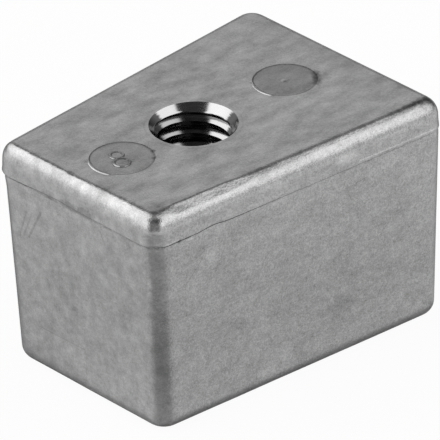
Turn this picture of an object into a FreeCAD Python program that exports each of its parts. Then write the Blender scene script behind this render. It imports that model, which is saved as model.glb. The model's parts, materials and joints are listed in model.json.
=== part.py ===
import FreeCAD, Part
import math
import os

# Sacrificial anode: one die-cast block with a tapped hole in its mounting face.
# Millimetres. The origin is the middle of the resting face, +X runs from the narrow
# end to the wide end, and +Z points out of the mounting face.

# Plan of the block where the two mould halves met, corners taken as sharp
block_length = 33.8
narrow_width = 21.0
wide_width = 26.1

# Heights
block_height = 22.4
band_height = 2.8  # from the parting line up to the mounting face

# Mould
body_draft_deg = 1.6  # taper of the sides below the parting line
band_draft_deg = 1.0  # taper of the sides above it
parting_step = 0.09  # how far the band stands out all round at the parting line
mismatch_x = 0.06  # how far the lower half of the mould sat off the upper one
mismatch_y = -0.06

# Rounded edges
corner_radius = 2.0  # the four upright corners
mounting_edge_radius = 1.7
resting_edge_radius = 1.4

# Tapped hole, given by its bore: the turns of the thread are finer than this model
hole_from_narrow_end = 14.65
bore_diameter = 6.7  # minor diameter of an M8 x 1.25 thread
bore_depth = 15.0  # from the mounting face to the end of the straight wall
drill_point_deg = 118.0
chamfer_rim_diameter = 8.1
chamfer_deg = 90.0  # full angle of the countersink

# Round marks that two ejector pins left in the mounting face
pin_mark_diameter = 6.0
pin_mark_depth = 0.15
first_mark_to_hole = 8.6  # on the narrow side of the hole
second_mark_to_hole = 11.2  # on the wide side
pip_base_diameter = 0.5  # small nub in the middle of the second mark
pip_top_diameter = 0.25
pip_height = 0.12

# Sizes that follow from these
body_height = block_height - band_height
flare = (wide_width - narrow_width) / 2 / block_length  # slope of the long sides in plan
hole_x = hole_from_narrow_end - block_length / 2
first_mark_x = hole_x - first_mark_to_hole
second_mark_x = hole_x + second_mark_to_hole


def point(x, y, z):
    return FreeCAD.Vector(x, y, z)


def plan_corners(inset, shift_x, shift_y, z):
    """Corners of the plan's trapezoid at height z, with every side moved in by inset."""
    side_loss = inset * math.hypot(1, flare)
    half_length = block_length / 2 - inset
    half_narrow = narrow_width / 2 + inset * flare - side_loss
    half_wide = wide_width / 2 - inset * flare - side_loss
    corners = [
        (-half_length, -half_narrow),
        (half_length, -half_wide),
        (half_length, half_wide),
        (-half_length, half_narrow),
    ]
    return [point(x + shift_x, y + shift_y, z) for x, y in corners]


def flat_face(corners):
    """Flat face with straight edges through the corners."""
    return Part.Face(Part.makePolygon(corners + corners[:1]))


def sharp_block(lower, upper):
    """Block with flat sides that rise from the lower corners to the upper ones."""
    faces = [flat_face(lower[::-1]), flat_face(upper)]
    for index in range(len(lower)):
        before = index - 1
        faces.append(flat_face([lower[before], lower[index], upper[index], upper[before]]))
    return Part.makeSolid(Part.makeShell(faces))


def upright_edges(solid):
    """Edges that join the two outlines of a tapered block."""
    found = []
    for edge in solid.Edges:
        rise = abs(edge.Vertexes[0].Z - edge.Vertexes[-1].Z)
        if rise > edge.Length / 2:
            found.append(edge)
    return found


def edges_at_height(solid, z):
    """Edges that lie in the level plane at height z."""
    reach = block_height * 1e-4
    found = []
    for edge in solid.Edges:
        box = edge.BoundBox
        if abs(box.ZMin - z) < reach and abs(box.ZMax - z) < reach:
            found.append(edge)
    return found


def tapered_block(lower, upper, rounded_z, edge_radius):
    """Sharp block with its upright corners rounded first, then one level edge."""
    block = sharp_block(lower, upper)
    block = block.makeFillet(corner_radius, upright_edges(block))
    return block.makeFillet(edge_radius, edges_at_height(block, rounded_z))


def lower_body():
    """The deep half of the casting, from the resting face up to the parting line."""
    taper = body_height * math.tan(math.radians(body_draft_deg))
    bottom = plan_corners(parting_step + taper, mismatch_x, mismatch_y, 0)
    top = plan_corners(parting_step, mismatch_x, mismatch_y, body_height)
    return tapered_block(bottom, top, 0, resting_edge_radius)


def upper_band():
    """The shallow half, from the parting line up to the mounting face."""
    taper = band_height * math.tan(math.radians(band_draft_deg))
    bottom = plan_corners(0, 0, 0, body_height)
    top = plan_corners(taper, 0, 0, block_height)
    return tapered_block(bottom, top, block_height, mounting_edge_radius)


def tapped_hole():
    """Countersink, straight bore and drill point, turned about the hole's axis."""
    bore_radius = bore_diameter / 2
    rim_radius = chamfer_rim_diameter / 2
    chamfer_depth = (rim_radius - bore_radius) / math.tan(math.radians(chamfer_deg / 2))
    point_length = bore_radius / math.tan(math.radians(drill_point_deg / 2))
    overshoot = chamfer_depth  # the cutter starts this far above the mounting face
    over_radius = rim_radius + overshoot * math.tan(math.radians(chamfer_deg / 2))
    bore_end = block_height - bore_depth
    profile = [
        point(0, 0, bore_end - point_length),
        point(bore_radius, 0, bore_end),
        point(bore_radius, 0, block_height - chamfer_depth),
        point(over_radius, 0, block_height + overshoot),
        point(0, 0, block_height + overshoot),
    ]
    face = Part.Face(Part.makePolygon(profile + profile[:1]))
    cutter = face.revolve(point(0, 0, 0), point(0, 0, 1), 360)
    cutter.translate(point(hole_x, 0, 0))
    return cutter


def pin_mark(x):
    """Cutter for a shallow round recess, which stands out above the face by its depth."""
    floor = point(x, 0, block_height - pin_mark_depth)
    return Part.makeCylinder(pin_mark_diameter / 2, pin_mark_depth * 2, floor)


def centre_pip(x):
    """Low cone on the floor of a pin mark, rooted in the metal as deep as it is high."""
    root = point(x, 0, block_height - pin_mark_depth - pip_height)
    root_diameter = pip_base_diameter * 2 - pip_top_diameter
    return Part.makeCone(root_diameter / 2, pip_top_diameter / 2, pip_height * 2, root)


def anode_block():
    """The whole casting as one solid."""
    block = lower_body().fuse(upper_band())
    for cutter in (tapped_hole(), pin_mark(first_mark_x), pin_mark(second_mark_x)):
        block = block.cut(cutter)
    return block.fuse(centre_pip(second_mark_x))


def single_solid(shape):
    """The one solid of a joined shape, with edges that only split a face taken out."""
    cleaned = shape.removeSplitter()
    if len(cleaned.Solids) != 1:
        raise ValueError("the casting came out in %d pieces" % len(cleaned.Solids))
    return cleaned.Solids[0]


os.makedirs("parts", exist_ok=True)
anode = single_solid(anode_block())
anode.exportStep("parts/anode_block.step")
size = anode.optimalBoundingBox(False, False)
print("valid", anode.isValid(), "volume mm3", round(anode.Volume, 1))
print("size mm", round(size.XLength, 2), round(size.YLength, 2), round(size.ZLength, 2))
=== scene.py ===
import json
import math

import bmesh
import bpy
from mathutils import Matrix, Vector, noise
from mathutils.geometry import delaunay_2d_cdt


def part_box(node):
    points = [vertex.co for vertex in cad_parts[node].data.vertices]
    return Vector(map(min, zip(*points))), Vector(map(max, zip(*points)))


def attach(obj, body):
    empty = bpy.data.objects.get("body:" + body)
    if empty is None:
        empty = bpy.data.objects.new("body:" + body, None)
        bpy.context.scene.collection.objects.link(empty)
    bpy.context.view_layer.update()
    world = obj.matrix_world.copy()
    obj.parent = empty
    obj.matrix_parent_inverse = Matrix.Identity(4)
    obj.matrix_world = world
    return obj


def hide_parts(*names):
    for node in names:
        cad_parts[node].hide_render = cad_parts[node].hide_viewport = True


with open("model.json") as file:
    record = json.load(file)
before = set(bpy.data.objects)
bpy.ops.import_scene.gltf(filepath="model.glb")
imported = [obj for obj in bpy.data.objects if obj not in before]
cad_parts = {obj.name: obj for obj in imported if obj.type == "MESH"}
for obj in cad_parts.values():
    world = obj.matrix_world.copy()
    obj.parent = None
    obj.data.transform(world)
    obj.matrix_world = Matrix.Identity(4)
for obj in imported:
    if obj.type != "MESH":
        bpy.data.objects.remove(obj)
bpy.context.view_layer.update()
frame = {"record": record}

# Die-cast anode block. Sizes in the dictionaries are millimetres and degrees, and the
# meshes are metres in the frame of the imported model.
mm = 0.001
blockLow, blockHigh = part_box("anode_block")
blockLength = (blockHigh.x - blockLow.x) / mm
blockHeight = (blockHigh.z - blockLow.z) / mm
tappedMount = next(m for m in frame["record"]["mounts"] if m["name"] == "stud_thread")
holeX = tappedMount["pos_m"][0] / mm
scene = bpy.context.scene


# Helpers for node trees


# One socket of a node tree. Sums on it add Math nodes, and node() adds any other node.
class Wire:
    def __init__(self, tree, socket=None):
        self.tree = tree
        self.socket = socket

    def node(self, kind, settings=None, values=None, output=0):
        made = self.tree.nodes.new(kind)
        for name, value in (settings or {}).items():
            setattr(made, name, value)
        for name, value in (values or {}).items():
            feed(self.tree, value, made.inputs[name])
        return Wire(self.tree, made.outputs[output] if made.outputs else None)

    def maths(self, operation, *others):
        values = dict(enumerate((self, *others)))
        return self.node("ShaderNodeMath", {"operation": operation}, values)

    def vector(self, operation, *others, output=0):
        values = dict(enumerate((self, *others)))
        return self.node("ShaderNodeVectorMath", {"operation": operation}, values, output)

    def __add__(self, other):
        return self.maths("ADD", other)

    def __radd__(self, other):
        return self.maths("ADD", other)

    def __sub__(self, other):
        return self.maths("SUBTRACT", other)

    def __rsub__(self, other):
        return self.node("ShaderNodeMath", {"operation": "SUBTRACT"}, {0: other, 1: self})

    def __mul__(self, other):
        return self.maths("MULTIPLY", other)

    def __rmul__(self, other):
        return self.maths("MULTIPLY", other)

    def __truediv__(self, other):
        return self.maths("DIVIDE", other)

    def __abs__(self):
        return self.maths("ABSOLUTE")

    def atMost(self, other):
        return self.maths("MINIMUM", other)

    def atLeast(self, other):
        return self.maths("MAXIMUM", other)

    def held(self, low=0.0, high=1.0):
        return self.atLeast(low).atMost(high)

    def scaled(self, factor):
        values = {0: self, "Scale": factor}
        return self.node("ShaderNodeVectorMath", {"operation": "SCALE"}, values)

    def parts(self):
        split = self.node("ShaderNodeSeparateXYZ", values={0: self}).socket.node
        return [Wire(self.tree, out) for out in split.outputs]

    # 0 below start, 1 above end, eased between; start may be the larger one
    def ramp(self, start, end):
        low, high = min(start, end), max(start, end)
        settings = {"interpolation_type": "SMOOTHSTEP"}
        values = {0: self, 1: low, 2: high, 3: 0.0, 4: 1.0}
        rise = self.node("ShaderNodeMapRange", settings, values)
        return rise if start < end else 1 - rise


def feed(tree, value, socket):
    if isinstance(value, Wire):
        tree.links.new(value.socket, socket)
    else:
        socket.default_value = value


def emptyTree(tree):
    tree.nodes.clear()
    return Wire(tree)


# Outer skin of the casting

casting = {
    "narrowWidth": 21.0,  # plan at the parting line, corners taken as sharp
    "wideWidth": 26.1,
    "bandHeight": 2.93,  # from the parting line up to the mounting face
    "bodyDraft": 1.6,
    "bandDraft": 1.0,
    "partingStep": 0.09,
    "mismatch": (0.06, -0.06),  # lower mould half against the upper one
    "cornerRadius": 2.0,
    "mountingEdge": 1.7,
    "restingEdge": 1.4,
    "meshStep": 0.27,
    "faceStep": 0.36,  # grid on the mounting face
    "restingStep": 0.9,  # grid on the resting face
    "edgeSteps": 20,  # rings round the mounting edge
    "cornerSteps": 12,
    "lipRound": (0.16, 0.09),  # lower edge of the band: near the narrow end, from the middle on
    "lipNarrowEnd": 0.30,  # the same edge on the narrow end
    "lipAngles": (85, 70, 55, 40, 20, 0),  # rings round that edge
    "ridge": 0.015,  # how far the band stands out just above that edge
    "ridgeHeight": 0.24,
    "cove": 0.03,  # hollow along the body below the parting line
    "coveHeight": 0.6,
    # flat worn into the mounting edge on -Y and the narrow end, deeper near the front corner
    "worn": (0.015, 0.098),
    "wornTilt": (27, 27),  # how far that flat leans at the same places
    "wornAlong": (-14.6, -13.2, -9.0, -4.0),  # X where the deeper part starts, is full and stops
    "flare": 0.14,  # the narrow end's +Y corner stands out at the parting line
    "flareReach": 4.5,
    "flareFade": (2.4, 1.5),  # above the parting line and below it
    # the parting line hangs at the narrow end's -Y and +Y corners and rises at two places
    "dips": (0.09, 0.10, -0.09, -0.15),
    "dipReach": (5.0, 7.0, 5.0, 1.9),
    "dipHeight": 1.2,
    "risesAt": ((-16.9, 2.5), (-10.0, -11.0)),
    "sharper": 0.30,  # how far the mounting edge reaches out on the narrow end
    "sharperAlong": (-7.0, 3.0),  # Y where that starts and is full
    "swell": 0.020,  # depth of the long hollows in the cast skin
    "swellScale": 0.22,
    "ripple": 0.006,  # depth of the short ones
    "rippleScale": 0.9,
    "rimFlat": 0.6,  # the hollows fade out this far from the hole
}

pinMarks = {
    "radius": 3.0,
    "depth": (0.018, 0.125),  # at the shallow end and the deep one
    "deepSide": 228,  # direction of the deep end, from +X
    "rimWidth": (0.13, 0.38),  # of the slope down to the floor, at the same ends
    "fromHole": (-8.6, 11.2),
    "roundSteps": 120,
    "ringOffsets": (  # rings of points about each rim
        -0.38, -0.29, -0.22, -0.15, -0.10, -0.05, 0.0, 0.02,
        0.05, 0.08, 0.11, 0.14, 0.2, 0.32, 0.45,
    ),
    "burr": (0.080, 0.060),  # the metal is pushed down outside one side of each rim
    "burrSide": 175,  # direction of that side, from +X
    "burrDeepest": 0.15,  # from the rim out
    "burrReach": 1.2,
    "floorStep": 0.18,  # grid on the floors
    "digitStep": 0.075,  # grid under the digit
    "pipRadius": 0.24,
    "pipHeight": 0.08,
}

# Plain cavity number on the first mark: two loops, centres from the middle of the mark
cavityEight = {
    "upper": (0.10, 0.86),
    "lower": (-0.42, -0.43),
    "upperRadius": 0.60,
    "lowerRadius": 0.72,
    "strokeHalf": 0.19,
    "height": (0.055, 0.088),  # where the digit is worn most and least
    "fullSide": 195,  # direction of the least worn side of each loop, from +X
    "reach": 1.75,  # the digit lies inside this radius
}

dents = [  # place on the skin, radius, depth
    ((4.73, -11.68, 4.67), 0.42, 0.060),
    ((-4.60, -11.60, 20.0), 0.30, 0.050),
    ((2.20, -11.60, 10.2), 0.50, 0.030),
    ((1.20, -11.50, 9.0), 0.40, 0.025),
    ((-16.70, 3.90, 8.0), 0.50, 0.025),
    ((13.2, -12.2, 14.2), 0.45, 0.030),
    ((-15.7, 1.3, 22.3), 0.25, 0.070),
    ((-13.85, -10.72, 19.42), 0.25, 0.060),
]


def between(pair, share):
    return pair[0] + (pair[1] - pair[0]) * share


def smooth(value):
    value = max(0.0, min(1.0, value))
    return value * value * (3 - 2 * value)


# Sharp corners of the plan moved in by inset, anticlockwise seen from above
def planCorners(inset):
    flare = (casting["wideWidth"] - casting["narrowWidth"]) / 2 / blockLength
    sideLoss = inset * math.hypot(1, flare)
    halfLength = blockLength / 2 - inset
    halfNarrow = casting["narrowWidth"] / 2 + inset * flare - sideLoss
    halfWide = casting["wideWidth"] / 2 - inset * flare - sideLoss
    return [
        Vector((-halfLength, -halfNarrow)),
        Vector((halfLength, -halfWide)),
        Vector((halfLength, halfWide)),
        Vector((-halfLength, halfNarrow)),
    ]


sideCounts = [
    max(8, round(((b - a).length - 2 * casting["cornerRadius"]) / casting["meshStep"]))
    for a, b in zip(planCorners(0), planCorners(0)[1:] + planCorners(0)[:1])
]


# Rounded outline as (place, outward direction), with the same count of points at any inset
def outline(inset, radius, shift):
    corners = planCorners(inset)
    arcs = []
    for index, corner in enumerate(corners):
        arriving = (corner - corners[index - 1]).normalized()
        leaving = (corners[(index + 1) % 4] - corner).normalized()
        turn = arriving.angle(leaving)
        centre = corner - arriving * radius * math.tan(turn / 2)
        centre += Vector((-arriving.y, arriving.x)) * radius
        start = math.atan2(-arriving.x, arriving.y)
        arc = []
        for step in range(casting["cornerSteps"] + 1):
            angle = start + turn * step / casting["cornerSteps"]
            outward = Vector((math.cos(angle), math.sin(angle)))
            arc.append((centre + outward * radius, outward))
        arcs.append(arc)
    points = []
    for index, arc in enumerate(arcs):
        points += arc
        begin, outward = arc[-1]
        end = arcs[(index + 1) % 4][0][0]
        count = sideCounts[index]
        points += [(begin.lerp(end, step / count), outward) for step in range(1, count)]
    offset = Vector(shift)
    return [(place + offset, outward) for place, outward in points]


# Rings from the edge of the resting face to the edge of the mounting face, each (height,
# inset, corner radius, shift, angle round the band's lower edge, angle round the mounting edge)
def skinRings():
    cornerRadius = casting["cornerRadius"]
    parting = blockHeight - casting["bandHeight"]
    bodySlope = math.tan(math.radians(casting["bodyDraft"]))
    bandSlope = math.tan(math.radians(casting["bandDraft"]))
    mismatch = casting["mismatch"]
    rings = []

    def ring(height, inset, radius=cornerRadius, shift=(0, 0), lipAngle=None, edgeAngle=None):
        rings.append((height, inset, radius, shift, lipAngle, edgeAngle))

    edge = casting["restingEdge"]
    tilt = math.radians(casting["bodyDraft"])
    wallInset = casting["partingStep"] + (parting - edge) * bodySlope
    centreInset = wallInset + edge / math.cos(tilt)
    steps = casting["edgeSteps"] // 2
    for step in range(steps + 1):
        angle = math.pi / 2 + (tilt - math.pi / 2) * step / steps
        inset = centreInset - edge * math.cos(angle)
        extra = inset - (centreInset - edge * math.cos(tilt))
        ring(edge - edge * math.sin(angle), inset, cornerRadius - extra, mismatch)

    low = rings[-1][0]
    step = casting["partingStep"]
    high = parting - casting["coveHeight"] - 0.1
    count = round((high - low) / casting["meshStep"])
    coveRings = 6
    heights = [low + (high - low) * (index + 1) / count for index in range(count)]
    heights += [high + (parting - high) * (index + 1) / coveRings for index in range(coveRings)]
    for height in heights:
        cove = casting["cove"] * smooth(1 - (parting - height) / casting["coveHeight"])
        ring(height, step + cove + (parting - height) * bodySlope, shift=mismatch)

    for angle in casting["lipAngles"]:
        ring(parting, 0, lipAngle=angle)
    lip = casting["lipNarrowEnd"] + 0.02
    ridge, high = casting["ridge"], casting["ridgeHeight"]
    for share in (0.25, 0.5, 0.75, 1.0):
        height = parting + lip + high * share
        ring(height, (height - parting) * bandSlope + ridge * smooth(share))
    edge = casting["mountingEdge"]
    tilt = math.radians(casting["bandDraft"])
    low = parting + lip + high
    high = blockHeight - edge + edge * math.sin(tilt)
    closer = 1.6  # these rings lie closer together than on the body
    count = round((high - low) / casting["meshStep"] * closer)
    for index in range(1, count):
        height = low + (high - low) * index / count
        ring(height, (height - parting) * bandSlope + ridge)
    wallInset = (blockHeight - edge - parting) * bandSlope + ridge
    centreInset = wallInset + edge / math.cos(tilt)
    steps = casting["edgeSteps"]
    for step in range(steps + 1):
        angle = tilt + (math.pi / 2 - tilt) * step / steps
        inset = centreInset - edge * math.cos(angle)
        extra = inset - (centreInset - edge * math.cos(tilt))
        height = blockHeight - edge + edge * math.sin(angle)
        ring(height, inset, cornerRadius - extra, edgeAngle=angle)
    return rings


# Height of the mounting face against its flat, zero or below
def faceHeight(x, y):
    total = 0.0
    for index, fromHole in enumerate(pinMarks["fromHole"]):
        offset = x - holeX - fromHole
        away = math.hypot(offset, y)
        turn = math.atan2(y, offset)
        if away < pinMarks["radius"]:
            total -= sunkDepth(away, math.cos(turn - math.radians(pinMarks["deepSide"])))
            total += strokeHeight(offset, y) if index == 0 else pipRise(away)
            total = min(0, total)
        elif away < pinMarks["radius"] + pinMarks["burrReach"]:
            facing = math.cos(turn - math.radians(pinMarks["burrSide"]))
            total -= pinMarks["burr"][index] * burrShare(away - pinMarks["radius"], facing)
    return total


# Depth of a mark's floor at a distance from its middle; facing is 1 towards the deep end
def sunkDepth(away, facing):
    depth = between(pinMarks["depth"], 0.5 + 0.5 * facing * away / pinMarks["radius"])
    width = between(pinMarks["rimWidth"], smooth((facing + 0.1) / 0.5))
    return depth * smooth((pinMarks["radius"] - away) / width)


# Share of the full burr at a distance from the rim, gone about 39 degrees from its side
def burrShare(away, facing):
    deepest = pinMarks["burrDeepest"]
    falling = smooth((away - 0.01) / 0.13)
    rising = smooth((away - deepest) / (pinMarks["burrReach"] - deepest))
    return falling * (1 - rising) * smooth((facing - 0.78) / 0.16)


# Height of the digit over the floor of the mark
def strokeHeight(x, y):
    highest = 0.0
    for loop in ("upper", "lower"):
        centre = cavityEight[loop]
        away = math.hypot(x - centre[0], y - centre[1])
        turn = math.atan2(y - centre[1], x - centre[0])
        facing = math.cos(turn - math.radians(cavityEight["fullSide"]))
        offStroke = abs(away - cavityEight[loop + "Radius"])
        height = between(cavityEight["height"], smooth(0.5 + 0.7 * facing))
        highest = max(highest, height * smooth(1 - offStroke / cavityEight["strokeHalf"]))
    return highest


def pipRise(away):
    return pinMarks["pipHeight"] * smooth(1 - away / pinMarks["pipRadius"])


# Triangles between closed loops of points, with grid points put in between
def fillLoops(loops, gridPoints, holeRadius=0.0):
    points = []
    edges = []
    for loop in loops:
        first = len(points)
        points += [Vector(p) for p in loop]
        edges += [(first + i, first + (i + 1) % len(loop)) for i in range(len(loop))]
    points += [Vector(p) for p in gridPoints]
    insideOnly = 1
    found, _, triangles, origins, _, _ = delaunay_2d_cdt(points, edges, [], insideOnly, 1e-7)
    back = [origin[0] for origin in origins]
    kept = []
    for triangle in triangles:
        a, b, c = [found[i] for i in triangle]
        if ((a + b + c) / 3 - Vector((holeX, 0))).length > holeRadius:
            kept.append([back[i] for i in triangle])
    return points, kept


def circlePoints(centreX, radius, count):
    turns = [2 * math.pi * i / count for i in range(count)]
    return [(centreX + radius * math.cos(t), radius * math.sin(t)) for t in turns]


# Distance from the middle of the hole, or of a mark that stands off it
def fromMiddle(x, y, fromHole=0.0):
    return math.hypot(x - holeX - fromHole, y)


# Staggered grid inside the outline, without the points that fail the test
def gridInside(border, step, test):
    reachX = max(abs(p[0]) for p in border)
    reachY = max(abs(p[1]) for p in border)
    edges = list(zip(border, border[1:] + border[:1]))
    rowShare = 0.866  # rows of even triangles lie this much closer than the points in a row
    rows = int(reachY / step / rowShare)
    columns = int(reachX / step)
    points = []
    for row in range(-rows, rows + 1):
        for column in range(-columns, columns + 1):
            x = (column + 0.5 * (row % 2)) * step
            y = row * step * rowShare
            if test(x, y) and insideBorder(x, y, edges, step * 0.55):
                points.append((x, y))
    return points


def insideBorder(x, y, edges, margin):
    belt = 4  # places farther in than this need no test
    if abs(x) <= blockLength / 2 - belt and abs(y) <= casting["narrowWidth"] / 2 - belt:
        return True
    for a, b in edges:
        alongX, alongY = b[0] - a[0], b[1] - a[1]
        length = math.hypot(alongX, alongY)
        if ((x - a[0]) * alongY - (y - a[1]) * alongX) / length > -margin:
            return False
    return True


def mountingFacePoints(border, threadSteps, rimRadius):
    loops = [border, circlePoints(holeX, rimRadius, threadSteps)]
    extra = circlePoints(holeX, rimRadius + 0.12, threadSteps)
    radius, marks = pinMarks["radius"], pinMarks["fromHole"]
    for fromHole in marks:
        for offset in pinMarks["ringOffsets"]:
            ring = circlePoints(holeX + fromHole, radius + offset, pinMarks["roundSteps"])
            if -0.3 < offset < 0.2:
                loops.append(ring)
            else:
                extra += ring

    def onDigit(x, y):
        return fromMiddle(x, y, marks[0]) < cavityEight["reach"]

    def onFloor(x, y):
        inside = any(fromMiddle(x, y, fromHole) < radius - 0.45 for fromHole in marks)
        return inside and not onDigit(x, y)

    def onFace(x, y):
        clear = all(fromMiddle(x, y, fromHole) > radius + 0.6 for fromHole in marks)
        return clear and fromMiddle(x, y) >= rimRadius + 0.3

    extra += gridInside(border, casting["faceStep"], onFace)
    extra += gridInside(border, pinMarks["floorStep"], onFloor)
    extra += gridInside(border, pinMarks["digitStep"], onDigit)
    return loops, extra


# How far the cast skin lies inside its ideal surface at a place
def skinHollow(place):
    swell = 0.5 + 0.5 * noise.noise(place * casting["swellScale"] + Vector((3.1, 8.2, 1.7)))
    ripple = 0.5 + 0.5 * noise.noise(place * casting["rippleScale"] + Vector((9.4, 2.6, 5.5)))
    depth = casting["swell"] * swell + casting["ripple"] * ripple
    for centre, radius, sunk in dents:
        away = (place - Vector(centre)).length / radius
        if away < 1.6:
            depth += sunk * math.exp(-3 * away * away)
    return depth


# Size of the round along the band's lower edge, by the side that it is on
def lipAt(place, outward):
    onSide = between(casting["lipRound"], smooth((place.x + 9) / 10))
    return between((onSide, casting["lipNarrowEnd"]), smooth((-outward.x - 0.55) / 0.35))


# How far the mounting edge reaches out, at an angle on its round
def sharperAt(place, outward, angle):
    start, full = casting["sharperAlong"]
    share = smooth((place.y - start) / (full - start)) * smooth((-outward.x - 0.2) / 0.6)
    return casting["sharper"] * share * smooth(angle / math.pi * 2)


# How far the worn flat cuts in and down, at an angle on the round of the mounting edge
def wornAt(place, outward, angle):
    if outward.y > -0.9 and outward.x > -0.9:
        return 0, 0
    start, full, fullEnd, end = casting["wornAlong"]
    share = smooth((place.x - start) / (full - start))
    share *= smooth((end - place.x) / (end - fullEnd))
    share = share if outward.y < -0.9 else 0
    depth = between(casting["worn"], share)
    depth *= 1 + 0.3 * noise.noise(place.to_3d() * 1.3 + Vector((0, 0, 4.4)))
    tilt = math.radians(between(casting["wornTilt"], share))
    reach = math.cos(angle + tilt - math.pi / 2)
    cut = max(0, casting["mountingEdge"] * (reach - 1) + depth)
    return cut * math.sin(tilt), cut * math.cos(tilt)


# How far the skin stands out near one corner, at a height from the parting line
def flareAt(place, height, corner):
    along = smooth(1 - (place - corner).length / casting["flareReach"])
    above, below = casting["flareFade"]
    fade = 1 - height / above if height > 0 else 1 + height / below
    return casting["flare"] * along * max(0, fade)


def makeSkin(threadSteps, rimRadius):
    made = bmesh.new()
    loops = []
    parting = blockHeight - casting["bandHeight"]
    corners = planCorners(casting["cornerRadius"])
    dipCentres = [corners[0], corners[3]] + [Vector(place) for place in casting["risesAt"]]
    bodyInset = casting["partingStep"] + casting["cove"] + casting["mismatch"][0]
    for height, inset, radius, shift, lipAngle, edgeAngle in skinRings():
        nearParting = smooth(1 - abs(height - parting) / casting["dipHeight"])
        loop = []
        for place, outward in outline(inset, radius, shift):
            rise, moveIn = 0, -flareAt(place, height - parting, corners[3])
            if lipAngle is not None:
                lip = lipAt(place, outward)
                rise = lip * (1 - math.sin(math.radians(lipAngle)))
                moveIn += lip * (1 - math.cos(math.radians(lipAngle)))
                if outward.x < -0.5:  # on the narrow end it comes in no farther than the body
                    moveIn = min(moveIn, bodyInset)
            if edgeAngle is not None:
                wornIn, wornDown = wornAt(place, outward, edgeAngle)
                rise -= wornDown
                moveIn += wornIn - sharperAt(place, outward, edgeAngle)
            for centre, dip, reach in zip(dipCentres, casting["dips"], casting["dipReach"]):
                rise -= dip * smooth(1 - (place - centre).length / reach) * nearParting
            place = place - outward * moveIn
            x = max(place.x, -blockLength / 2)  # the flared corner stays in the CAD box
            loop.append(made.verts.new((x, place.y, height + rise)))
        loops.append(loop)
    for lower, upper in zip(loops, loops[1:]):
        for index in range(len(lower)):
            before = index - 1
            made.faces.new((lower[before], lower[index], upper[index], upper[before]))

    border = [(v.co.x, v.co.y) for v in loops[-1]]
    rims, extra = mountingFacePoints(border, threadSteps, rimRadius)
    points, triangles = fillLoops(rims, extra, rimRadius)
    verts = list(loops[-1])
    for p in points[len(border):]:
        verts.append(made.verts.new((p.x, p.y, blockHeight + faceHeight(p.x, p.y))))
    for triangle in triangles:
        made.faces.new([verts[i] for i in triangle])

    border = [(v.co.x, v.co.y) for v in loops[0]]
    grid = gridInside(border, casting["restingStep"], lambda x, y: True)
    points, triangles = fillLoops([border], grid)
    verts = loops[0] + [made.verts.new((p.x, p.y, 0)) for p in points[len(border):]]
    for triangle in triangles:
        made.faces.new([verts[i] for i in reversed(triangle)])
    made.verts.ensure_lookup_table()
    made.normal_update()
    moves = []
    for vert in made.verts:
        rimFade = smooth((fromMiddle(vert.co.x, vert.co.y) - rimRadius) / casting["rimFlat"])
        moves.append(vert.normal * -skinHollow(vert.co) * rimFade)
    for vert, move in zip(made.verts, moves):
        vert.co += move
    return made


# Tapped hole

tappedHole = {
    "Minor Radius": tappedMount["dims"]["r_mm"],
    "Major Radius": 3.82,
    "Pitch": 1.25,
    "Flank Slope": 1.2,
    "Rim Radius": 4.05,  # 90 degree countersink
    "Thread Depth": 12.6,
    "Wall Depth": 15.0,
    "Drill Point": 118.0,
    "Crest Depth": 1.76,  # of one crest on the side away from the camera
    "Crest Side": 48.4,  # where that side is, from +X
    "Hole X": holeX,
    "Face Height": blockHeight,
    "Round Steps": 96,
    "Pitch Steps": 16,
}


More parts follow.
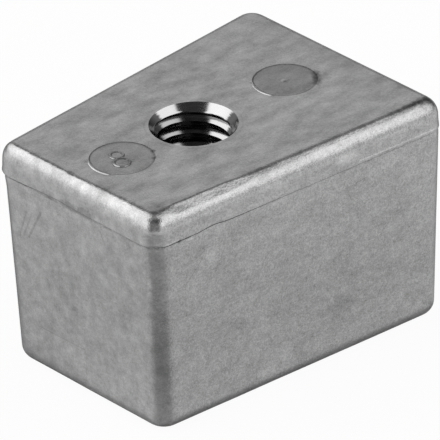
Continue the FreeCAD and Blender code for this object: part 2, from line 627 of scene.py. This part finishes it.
# Grid bent round the hole's axis. Its rows climb one pitch per turn, so that they lie along
# the thread, and the seam closes because both of its sides fall on the same points.
def threadTree(material):
    tree = bpy.data.node_groups.new("tappedHoleTree", "GeometryNodeTree")
    for name, value in tappedHole.items():
        kind = "NodeSocketInt" if name.endswith("Steps") else "NodeSocketFloat"
        item = tree.interface.new_socket(name=name, in_out="INPUT", socket_type=kind)
        item.default_value = value
    kind = "NodeSocketGeometry"
    tree.interface.new_socket(name="Geometry", in_out="OUTPUT", socket_type=kind)
    start = emptyTree(tree)
    source = start.node("NodeGroupInput").socket.node
    size = {name: Wire(tree, source.outputs[name]) for name in tappedHole}

    minor, pitch = size["Minor Radius"], size["Pitch"]
    half = (size["Drill Point"] * (math.pi / 360)).maths("TANGENT")
    tip = size["Wall Depth"] + minor / half
    rows = ((tip + pitch) / pitch * size["Pitch Steps"]).maths("CEIL") + 1
    grid = start.node(
        "GeometryNodeMeshGrid",
        values={0: 1.0, 1: 1.0, 2: size["Round Steps"] + 1, 3: rows + 1},
    )
    across, along, _ = start.node("GeometryNodeInputPosition").parts()
    turn = across + 0.5
    firstCrest = (size["Crest Depth"] / pitch + size["Crest Side"] / 360) * size["Pitch Steps"]
    shift = firstCrest.maths("FRACT") - 1  # a row falls on each corner of the thread
    travel = ((along + 0.5) * rows + shift) * pitch / size["Pitch Steps"]
    depth = (travel - turn * pitch).held(0.0, tip)

    # distance from the nearest crest, measured along the axis
    phase = depth / pitch + turn - size["Crest Depth"] / pitch - size["Crest Side"] / 360
    away = abs(phase - phase.maths("ROUND")) * pitch
    flank = (away - pitch / 8).atLeast(0.0) * size["Flank Slope"]
    runOut = 1 - ((depth - size["Thread Depth"]) / pitch).held()
    thread = minor + flank.atMost(size["Major Radius"] - minor) * runOut
    countersink = size["Rim Radius"] - depth
    drillPoint = (tip - depth) * half
    radius = thread.atLeast(countersink).atMost(drillPoint)

    angle = turn * 2 * math.pi
    x = (angle.maths("COSINE") * radius + size["Hole X"]) * mm
    y = angle.maths("SINE") * radius * mm
    z = (size["Face Height"] - depth) * mm
    place = start.node("ShaderNodeCombineXYZ", values={0: x, 1: y, 2: z})
    bent = start.node("GeometryNodeSetPosition", values={"Geometry": grid, "Position": place})
    values = {"Geometry": bent, "Distance": 1e-6}
    closed = start.node("GeometryNodeMergeByDistance", values=values)
    real = start.node("GeometryNodeRealizeInstances", values={0: closed})
    values = {"Geometry": real, "Material": material}
    done = start.node("GeometryNodeSetMaterial", values=values)
    start.node("NodeGroupOutput", values={"Geometry": done})
    return tree


# Mesh that a tree makes, with the tree's inputs set before it first runs
def meshFromTree(tree, values):
    carrier = bpy.data.objects.new(tree.name, bpy.data.meshes.new(tree.name))
    scene.collection.objects.link(carrier)
    modifier = carrier.modifiers.new("make", "NODES")
    modifier.node_group = tree
    for item in tree.interface.items_tree:
        if item.in_out == "INPUT" and item.name in values:
            modifier[item.identifier] = values[item.name]
    graph = bpy.context.evaluated_depsgraph_get()
    mesh = bpy.data.meshes.new_from_object(carrier.evaluated_get(graph))
    carrier.modifiers.remove(modifier)
    bpy.data.objects.remove(carrier)
    return mesh


# Skin and hole as one closed mesh
def anodeCasting(skinMaterial, cutMaterial):
    made = makeSkin(tappedHole["Round Steps"], tappedHole["Rim Radius"])
    made.transform(Matrix.Scale(mm, 4))
    skinFaces = len(made.faces)
    hole = meshFromTree(threadTree(cutMaterial), tappedHole)
    made.from_mesh(hole)
    made.faces.ensure_lookup_table()
    for index, face in enumerate(made.faces):
        face.material_index = 0 if index < skinFaces else 1
    bmesh.ops.remove_doubles(made, verts=made.verts, dist=1e-6)
    bmesh.ops.dissolve_degenerate(made, edges=made.edges, dist=1e-7)
    bmesh.ops.recalc_face_normals(made, faces=made.faces)
    for face in made.faces:
        face.smooth = True
    openEdges = sum(not edge.is_manifold for edge in made.edges)
    volume = made.calc_volume(signed=True) / mm ** 3
    mesh = bpy.data.meshes.new("anodeCasting")
    made.to_mesh(mesh)
    made.free()
    mesh.set_sharp_from_angle(angle=math.radians(40))
    mesh.materials.append(skinMaterial)
    mesh.materials.append(cutMaterial)
    piece = bpy.data.objects.new("anodeCasting", mesh)
    scene.collection.objects.link(piece)
    mesh.calc_loop_triangles()
    print("casting:", len(mesh.loop_triangles), "triangles,", openEdges, "open edges")
    print("casting volume in mm3:", round(volume))
    return piece


# Finishes

castSkin = {
    "tone": 0.44,
    "drift": 0.2,  # how far the tone wanders over the whole block
    "roughness": 0.20,
    "mottleRoughness": 0.10,
    "pebbleRoughness": 0.12,
    "grainDepth": 0.007,  # millimetres
    "pebbleDepth": 0.014,
    "mottleDepth": 0.018,
    "markTone": (0.80, 0.70),  # floor of each pin mark against the face round it
    "rimDarkening": (0.04, 0.20),  # how much darker the skin is just inside each pin mark's rim, and how much more on its far side
    "farEndDarkening": 0.13,
    # painted shade along the parting line on the narrow end
    "seamShade": 0.22,
    "rubbed": (-15.8, -9.6, 22.0),  # rougher spot on the front corner
    "rubbedReach": 0.9,
    "rubbedRoughness": 0.10,
    "ringRadius": 4.42,  # faint turned ring round the countersink
    "ringDirt": 0.08,
    # strength of each size of patch on the top, the narrow end and the other sides
    "cloud": (0.95, 0.62, 0.42),
    "mottle": (0.40, 0.44, 0.42),
    "pebble": (0.30, 0.38, 0.56),
    "grain": (0.52, 0.45, 0.84),
    "driftScale": 0.25,
    "cloudScale": 0.75,
    "mottleScale": 1.6,
    "pebbleScale": 4.2,
    "grainScale": 9.0,
}

# Stains and painted light as (centre, reach, tone against the skin)
stainsAndPaintedLight = [
    ((-16.6, -5.8, 15.8), (1.0, 0.9, 1.6), 0.88),
    ((-16.5, 2.2, 10.5), (1.0, 3.0, 3.4), 0.92),
    # painted shade on the band just above the parting line on the narrow end
    ((-16.8, 5.2, 19.7), (1.0, 1.2, 0.6), 0.88),
    ((-16.8, 3.4, 19.7), (1.0, 1.3, 0.7), 0.84),
    ((-16.8, 0.4, 19.75), (1.0, 2.0, 0.7), 0.72),
    ((-16.8, -1.6, 19.8), (1.0, 1.6, 0.9), 0.72),
    ((-13.85, -10.8, 19.42), (0.34, 0.6, 0.26), 0.38),
    ((-13.0, -10.8, 19.45), (0.5, 0.6, 0.14), 0.62),
    ((-12.6, -10.8, 19.20), (0.5, 0.6, 0.12), 1.35),
    ((4.2, -11.7, 5.6), (1.8, 1.0, 1.5), 0.90),
    ((-8.4, -11.0, 13.1), (2.6, 1.0, 1.5), 0.93),
    ((-10.5, -10.9, 16.4), (1.4, 1.0, 1.3), 1.10),
    ((5.1, -12.1, 20.6), (1.8, 1.0, 0.6), 1.36),
    ((-8.05, -1.0, 22.4), (0.30, 0.30, 1.0), 0.45),
    ((-8.80, -1.95, 22.4), (0.32, 0.32, 1.0), 0.50),
    ((11.75, -1.0, 22.4), (0.60, 0.60, 1.0), 0.50),
    ((11.45, -1.5, 22.4), (0.62, 0.62, 1.0), 0.48),
    ((11.1, -1.95, 22.4), (0.62, 0.62, 1.0), 0.52),
    ((10.6, -2.45, 22.4), (0.60, 0.60, 1.0), 0.52),
    ((11.9, -2.2, 22.4), (0.9, 0.9, 1.0), 0.80),
    ((13.7, -11.42, 22.2), (1.8, 0.50, 0.6), 0.55),
    ((15.1, -11.6, 22.2), (1.5, 0.80, 0.6), 0.60),
    ((15.9, -8.6, 22.4), (1.0, 2.8, 1.0), 0.76),
    # painted highlight on the pip in the second pin mark, and painted shade beside it
    ((8.86, 0.12, 22.4), (0.30, 0.30, 1.0), 1.45),
    ((9.26, -0.15, 22.4), (0.26, 0.26, 1.0), 0.75),
    ((-14.7, -8.9, 22.4), (1.4, 1.3, 1.0), 0.74),
    ((-14.4, -8.65, 22.4), (0.25, 0.25, 1.0), 0.70),
    ((-16.2, -10.0, 21.1), (0.6, 0.6, 0.5), 0.78),
    ((-12.8, 4.3, 22.4), (3.0, 2.4, 1.0), 0.92),
    ((-6.0, -4.2, 22.4), (2.4, 1.2, 1.0), 0.90),
    ((-16.64, -9.43, 15.6), (1.0, 0.35, 0.8), 1.30),
    ((-16.61, -9.34, 14.6), (1.0, 0.30, 0.5), 1.30),
]

# Scratches, and painted highlights along the ridge, as (from, to, half width, depth, tone against
# the skin)
scratchesAndPaintedHighlights = [
    ((-16.59, 7.8, 13.7), (-16.67, 6.71, 16.56), 0.15, 0.003, 0.84),
    ((-16.59, 7.24, 13.94), (-16.67, 5.88, 16.8), 0.15, 0.003, 0.84),
    ((-16.59, 6.54, 14.04), (-16.67, 4.65, 17.35), 0.19, 0.004, 0.80),
    ((-16.75, -3.4, 18.69), (-16.72, -3.75, 17.78), 0.08, 0.010, 0.70),
    ((-16.34, 6.1, 4.8), (-16.34, -0.12, 4.91), 0.06, 0.006, 0.78),
    ((-16.67, -9.25, 16.62), (-16.61, -9.6, 14.6), 0.12, 0.004, 1.35),
    ((-13.35, -10.6, 14.54), (-11.29, -10.81, 16.73), 0.08, 0.010, 0.80),
    ((-12.6, -10.7, 14.2), (-10.9, -10.9, 16.2), 0.07, 0.008, 0.82),
    ((8.21, -11.94, 4.34), (9.27, -12.06, 6.04), 0.08, 0.010, 0.78),
    # painted highlights: light lines along the ridge just above the parting line
    ((6.6, -12.2, 19.84), (15.4, -12.9, 19.80), 0.13, 0.0, 1.30),
    ((-15.6, -10.5, 19.62), (-14.0, -10.72, 19.66), 0.12, 0.0, 1.25),
]


# Material with an empty tree, and the place on the object in millimetres
def startMaterial(name):
    material = bpy.data.materials.new(name)
    material.use_nodes = True
    start = emptyTree(material.node_tree)
    return material, start, start.node("ShaderNodeTexCoord", output="Object").scaled(1 / mm)


def grain(place, scale, detail=2.0, rough=0.5):
    values = {"Vector": place, "Scale": scale, "Detail": detail, "Roughness": rough}
    return place.node("ShaderNodeTexNoise", values=values, output="Fac")


# Distance from a place to the line between two points
def lineDistance(place, begin, end):
    begin, end = Vector(begin), Vector(end)
    run = end - begin
    offset = place.vector("SUBTRACT", begin)
    share = (offset.vector("DOT_PRODUCT", run, output="Value") / run.length_squared).held()
    values = {0: run, "Scale": share}
    nearest = share.node("ShaderNodeVectorMath", {"operation": "SCALE"}, values)
    return offset.vector("DISTANCE", nearest, output="Value")


def flatDistance(x, y):
    return (x * x + y * y).maths("SQRT")


# Tone with a patch or a stroke of another shade on it
def shaded(tone, where, shade):
    return tone * (1 + where * (shade - 1))


def finishMetal(start, tone, roughness, height):
    values = {"Strength": 1.0, "Distance": mm, "Height": height}
    bump = start.node("ShaderNodeBump", values=values)
    colour = start.node("ShaderNodeCombineColor", values={0: tone, 1: tone, 2: tone})
    values = {"Base Color": colour, "Metallic": 1.0, "Roughness": roughness, "Normal": bump}
    shader = start.node("ShaderNodeBsdfPrincipled", values=values)
    start.node("ShaderNodeOutputMaterial", values={"Surface": shader})


def castSkinMaterial():
    material, start, place = startMaterial("castSkin")
    x, y, z = place.parts()

    onTop = z.ramp(blockHeight - 0.8, blockHeight - 0.3)
    onEnd = x.ramp(-14.8, -16.0) * (1 - onTop)

    def strength(name):
        top, end, sides = castSkin[name]
        return sides + onTop * (top - sides) + onEnd * (end - sides)

    drift = grain(place, castSkin["driftScale"], 1.0) - 0.5
    stretched = place.vector("MULTIPLY", (0.5, 1.0, 1.0))  # the clouds are longer along X
    cloud = grain(stretched, castSkin["cloudScale"], 2.0) - 0.5
    mottle = grain(place, castSkin["mottleScale"], 2.0, 0.6) - 0.5
    pebble = grain(place, castSkin["pebbleScale"], 1.0) - 0.5
    fine = grain(place, castSkin["grainScale"], 1.0) - 0.5
    vary = cloud * strength("cloud") + mottle * strength("mottle")
    vary = vary + pebble * strength("pebble") + fine * strength("grain")
    tone = castSkin["tone"] * (1 + drift * castSkin["drift"] + vary)
    height = mottle * castSkin["mottleDepth"] + pebble * castSkin["pebbleDepth"]
    height = height + fine * castSkin["grainDepth"]

    nearDarkening, farDarkening = castSkin["rimDarkening"]
    for index, fromHole in enumerate(pinMarks["fromHole"]):
        away = flatDistance(x - holeX - fromHole, y)
        onMark = away.ramp(pinMarks["radius"], pinMarks["radius"] - 0.15) * onTop
        tone = shaded(tone, onMark, castSkin["markTone"][index])
        # darker just inside each mark's rim, more on its far side
        edge = away.ramp(pinMarks["radius"] - 0.42, pinMarks["radius"] - 0.1)
        edge = edge * onMark.ramp(0.0, 0.2)
        farSide = (x - holeX - fromHole).ramp(-1.8, 1.8)
        tone = tone * (1 - edge * (nearDarkening + farSide * farDarkening + mottle * 0.7).held())
    for centre, reach, shade in stainsAndPaintedLight:
        offset = place.vector("SUBTRACT", centre).vector("DIVIDE", reach)
        inside = (offset.vector("LENGTH", output="Value") + mottle).ramp(1.0, 0.3)
        tone = shaded(tone, inside, shade)
    # top face darker towards its +X end
    tone = tone * (1 - x.ramp(12.8, 16.0) * onTop * castSkin["farEndDarkening"])
    ring = abs(flatDistance(x - holeX, y) - castSkin["ringRadius"]).ramp(0.14, 0.04) * onTop
    tone = tone * (1 - ring * castSkin["ringDirt"])
    # painted shade along the parting line: a dark line on the narrow end, mottled darker patches
    # on the other sides
    seam = abs(z - (blockHeight - casting["bandHeight"]) + 0.03).ramp(0.22, 0.06)
    tone = tone * (1 - seam * (onEnd * castSkin["seamShade"] + mottle * 1.5).held())
    for begin, end, half, depth, shade in scratchesAndPaintedHighlights:
        stroke = lineDistance(place, begin, end).ramp(half, half * 0.3)
        tone = shaded(tone, stroke, shade)
        height = height - stroke * depth
    fromSpot = place.vector("DISTANCE", castSkin["rubbed"], output="Value")
    rubbed = fromSpot.ramp(castSkin["rubbedReach"], 0.2)
    roughness = castSkin["roughness"] + mottle * castSkin["mottleRoughness"]
    roughness = roughness + pebble * castSkin["pebbleRoughness"]
    roughness = roughness + rubbed * castSkin["rubbedRoughness"]
    finishMetal(start, tone, roughness, height)
    return material


cutMetal = {
    "tone": 0.50,
    "roughness": 0.15,
    "turningDepth": 0.0024,
    "nearSideShade": 0.86,  # painted shade on the hole's near side
    "threadShade": (0.36, 0.60, 0.08),  # painted shade on the turns: viewer's left, far side, right
    "shadeFrom": (0.66, 0.80),  # depth where that starts and is full
}


def cutMetalMaterial():
    material, start, place = startMaterial("cutMetal")
    x, y, z = place.parts()
    stretched = place.node("ShaderNodeCombineXYZ", values={0: x * 0.4, 1: y * 0.4, 2: z * 6})
    streak = grain(stretched, 2.0, 3.0) - 0.5
    side = math.radians(tappedHole["Crest Side"])
    offset = x - holeX
    away = flatDistance(offset, y)
    facing = (offset * math.cos(side) + y * math.sin(side)) / away
    lateral = (offset * math.sin(side) - y * math.cos(side)) / away
    # painted shade on the hole's near side and flanks, leaving its far side
    nearSideShade = (facing + lateral * 0.05 + streak * 0.15).ramp(0.58, 0.48)
    # painted shade on the thread turns, set by the viewer's left, far side and right, from a
    # little below the face down
    leftShade, farDarkening, rightShade = cutMetal["threadShade"]
    turnShade = between((rightShade, leftShade), lateral.ramp(0.3, -0.3))
    turnShade = between((turnShade, farDarkening), facing.ramp(0.90, 0.97))
    begins, full = cutMetal["shadeFrom"]
    turnShade = turnShade * z.ramp(blockHeight - begins, blockHeight - full)
    tone = cutMetal["tone"] * (1 + streak * 0.2)
    tone = tone * (1 - nearSideShade * cutMetal["nearSideShade"]) * (1 - turnShade)
    roughness = cutMetal["roughness"] + streak * 0.1
    finishMetal(start, tone, roughness, streak * cutMetal["turningDepth"])
    return material


# Studio

camera = {
    "azimuth": -41.559,
    "elevation": 30.198,
    "roll": -2.149,
    "distance": 715.53,
    "focalPixels": 7929.15,
    "framePixels": 440,
    "aimHeight": 11.2,
    "aimRight": 0.347,  # the aim point stands this far from the block's middle, seen in the view
    "aimUp": 0.252,
}


# The view's right, up and back, and the level directions to the camera and to its right
def cameraAxes():
    azimuth = math.radians(camera["azimuth"])
    elevation = math.radians(camera["elevation"])
    roll = math.radians(camera["roll"])
    away = Vector((math.sin(azimuth), -math.cos(azimuth), 0))
    back = away * math.cos(elevation) + Vector((0, 0, math.sin(elevation)))
    right = Vector((math.cos(azimuth), math.sin(azimuth), 0))
    up = back.cross(right)
    viewRight = right * math.cos(roll) + up * math.sin(roll)
    viewUp = up * math.cos(roll) - right * math.sin(roll)
    return viewRight, viewUp, back, away, right


def placeCamera():
    viewRight, viewUp, back, _, _ = cameraAxes()
    aim = Vector((0, 0, camera["aimHeight"])) + viewRight * camera["aimRight"]
    aim += viewUp * camera["aimUp"]
    data = bpy.data.cameras.new("photoCamera")
    data.sensor_width = 36
    data.lens = data.sensor_width * camera["focalPixels"] / camera["framePixels"]
    seen = bpy.data.objects.new("photoCamera", data)
    turn = Matrix((viewRight, viewUp, back)).transposed().to_4x4()
    seen.matrix_world = Matrix.Translation((aim + back * camera["distance"]) * mm) @ turn
    scene.collection.objects.link(seen)
    scene.camera = seen


# Light of the room by direction, 1 is white. Azimuth is counted from the camera's side,
# with the viewer's right at +90.
studio = {
    "leftBox": (1.01, 1.84),  # low down and high up
    "rightBox": (0.80, 1.60),
    "rightTop": 0.4,  # how much darker the right box is at its top
    "frontEdge": (21, 31),  # where each box's edge on the camera's side fades in
    "leftBackEdge": (-156, -130),
    "rightBackEdge": (150, 112),
    "lean": (0.36, 0.8),  # the front edges lean back with height, and more above leanMoreFrom
    "leanMoreFrom": 50,
    "bulge": (5, 12),  # how much farther back the two front edges stand at 54 to 64 degrees up
    "backdrop": 0.64,
    "beside": (0.35, 0.16),  # left and right of the backdrop
    "gap": 0.23,  # above the backdrop
    "horizon": (0.10, 0.24),  # low beside the backdrop and under it
    "front": (0.48, 0.30, 0.04),  # behind the camera: at eye level, raised, and the dark part
    "zenith": 0.34,
    "darkest": 0.015,
    "seenWhite": 0.975,  # what the camera sees past the floor
}


def studioWorld():
    world = bpy.data.worlds.new("studio")
    world.use_nodes = True
    scene.world = world
    start = emptyTree(world.node_tree)
    _, _, _, away, right = cameraAxes()
    direction = start.node("ShaderNodeTexCoord", output="Generated")
    towards = direction.vector("DOT_PRODUCT", away, output="Value")
    side = direction.vector("DOT_PRODUCT", right, output="Value")
    _, _, rise = direction.parts()
    azimuth = side.maths("ARCTAN2", towards) * (180 / math.pi)
    elevation = rise.maths("ARCSINE") * (180 / math.pi)

    # the ramps are in degrees round the block or up from the floor
    slope, moreSlope = studio["lean"]
    lean = elevation * slope + (elevation - studio["leanMoreFrom"]).atLeast(0) * moreSlope
    bulge = elevation.ramp(42, 54) * elevation.ramp(74, 64)
    leftEdge = azimuth + lean + bulge * studio["bulge"][0]
    rightEdge = azimuth - lean - bulge * studio["bulge"][1]
    inner, outer = studio["frontEdge"]
    left = azimuth.ramp(*studio["leftBackEdge"]) * leftEdge.ramp(-inner, -outer)
    rightSide = rightEdge.ramp(inner, outer) * azimuth.ramp(*studio["rightBackEdge"])
    front = leftEdge.ramp(-outer, -inner) * rightEdge.ramp(outer, inner)
    behind = (1 - left - rightSide - front).held()

    leftTone = between(studio["leftBox"], elevation.ramp(-2, 38))
    rightTone = between(studio["rightBox"], elevation.ramp(6, 34))
    rightTone = rightTone - studio["rightTop"] * elevation.ramp(50, 66)
    level, raised, dark = studio["front"]
    frontTone = between((level, raised), elevation.ramp(0, 16))
    frontTone = frontTone + (dark - raised) * elevation.ramp(36, 55)
    offMiddle = abs(azimuth)  # 180 is straight behind the block
    beside = between(studio["beside"], azimuth.ramp(-90, 90))
    backTone = between((beside, studio["backdrop"]), offMiddle.ramp(162, 171))
    top = offMiddle.ramp(150, 172) * 8  # the backdrop stands higher in its middle
    behindTone = between((backTone, studio["gap"]), (elevation - top).ramp(31, 39))
    light = left * leftTone + rightSide * rightTone + front * frontTone + behind * behindTone

    light = between((light, studio["zenith"]), elevation.ramp(70, 84))
    low = offMiddle.ramp(114, 132) * elevation.ramp(13, 2)
    horizon = between(studio["horizon"], offMiddle.ramp(145, 165))
    light = between((light, horizon), low).atLeast(studio["darkest"])
    seen = start.node("ShaderNodeLightPath", output="Is Camera Ray")
    light = between((light, studio["seenWhite"]), seen)
    colour = start.node("ShaderNodeCombineColor", values={0: light, 1: light, 2: light})
    background = start.node("ShaderNodeBackground", values={"Color": colour})
    start.node("ShaderNodeOutputWorld", values={"Surface": background})


floorLook = {
    "half": 3.0,  # metres
    "tone": 0.86,
    "roughness": 0.35,
    "seenWhite": 0.95,  # share of plain white in what the camera sees; the rest is lit and shaded
    "mirroredTone": (0.705, 0.765),  # how the metal sees the floor on the left and on the right
    "mirroredWhite": (0.16, 0.65),  # share of plain white in that, near the block and far off
    "mirroredClose": 0.22,  # and how much more of it right beside the block
    "mirroredBehind": 0.0,
    "frontShade": 0.33,  # how much darker that is before the front corner
    "frontNear": 0.23,  # and by how much more some way off it
    "contactShade": 0.25,  # right beside the block
    "behindShade": 0.50,  # and behind it
}


# Distance on the floor from the block's sides, below zero under the block
def outsideDistance(place, corners):
    farthest = None
    for index, corner in enumerate(corners):
        run = (corners[(index + 1) % 4] - corner).normalized()
        outward = Vector((run.y, -run.x, 0))
        reach = place.vector("DOT_PRODUCT", outward, output="Value")
        reach = reach - outward.to_2d().dot(corner)
        farthest = reach if farthest is None else farthest.atLeast(reach)
    return farthest


def studioFloor():
    material, start, place = startMaterial("paleFloor")
    _, _, _, cameraSide, right = cameraAxes()
    towards = place.vector("DOT_PRODUCT", cameraSide, output="Value")
    side = place.vector("DOT_PRODUCT", right, output="Value")
    far = flatDistance(towards, side)
    frontCorner = planCorners(casting["cornerRadius"])[0].to_3d()
    towards = towards - frontCorner.dot(cameraSide)
    side = side - frontCorner.dot(right)
    turn = abs(side.maths("ARCTAN2", towards) * (180 / math.pi))
    away = flatDistance(towards, side)
    # degrees off the camera's side, and millimetres from the front corner
    front = turn.ramp(78, 24) * away.ramp(95, 40)
    behind = turn.ramp(118, 142)
    outside = outsideDistance(place, planCorners(casting["partingStep"] + 0.55))
    contact = outside.ramp(2.0, 0.2)
    ray = start.node("ShaderNodeLightPath").socket.node
    toCamera, glossy, through = [
        Wire(start.tree, ray.outputs[name])
        for name in ("Is Camera Ray", "Is Glossy Ray", "Is Transmission Ray")
    ]
    white = between(floorLook["mirroredWhite"], far.ramp(25, 110))
    white = white + floorLook["mirroredClose"] * outside.ramp(11, 2)
    white = between((white, floorLook["mirroredBehind"]), behind)
    mirrored = (glossy + through) * white * (1 - front) * (1 - contact)
    middle = away.ramp(24, 15) * away.ramp(4, 12)
    shade = front * (middle * floorLook["frontNear"] + floorLook["frontShade"])
    shade = shade.atLeast(contact * floorLook["contactShade"])
    shade = shade.atLeast(behind * floorLook["behindShade"])
    seen = between(floorLook["mirroredTone"], side.ramp(-15, 15)) * (1 - shade)
    tone = between((floorLook["tone"], seen), glossy)
    colour = start.node("ShaderNodeCombineColor", values={0: tone, 1: tone, 2: tone})
    values = {"Base Color": colour, "Roughness": floorLook["roughness"]}
    lit = start.node("ShaderNodeBsdfPrincipled", values=values)
    plain = start.node("ShaderNodeEmission", values={"Strength": 1.0})
    share = toCamera * floorLook["seenWhite"] + mirrored
    mixed = start.node("ShaderNodeMixShader", values={0: share, 1: lit, 2: plain})
    start.node("ShaderNodeOutputMaterial", values={"Surface": mixed})

    half = floorLook["half"]
    mesh = bpy.data.meshes.new("studioFloor")
    corners = [(-half, -half, 0), (half, -half, 0), (half, half, 0), (-half, half, 0)]
    mesh.from_pydata(corners, [], [(0, 1, 2, 3)])
    mesh.materials.append(material)
    floor = bpy.data.objects.new("studioFloor", mesh)
    scene.collection.objects.link(floor)


piece = anodeCasting(castSkinMaterial(), cutMetalMaterial())
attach(piece, "root")
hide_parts("anode_block")

studioWorld()
studioFloor()
placeCamera()
scene.view_settings.view_transform = "Standard"
print("studio and camera set")
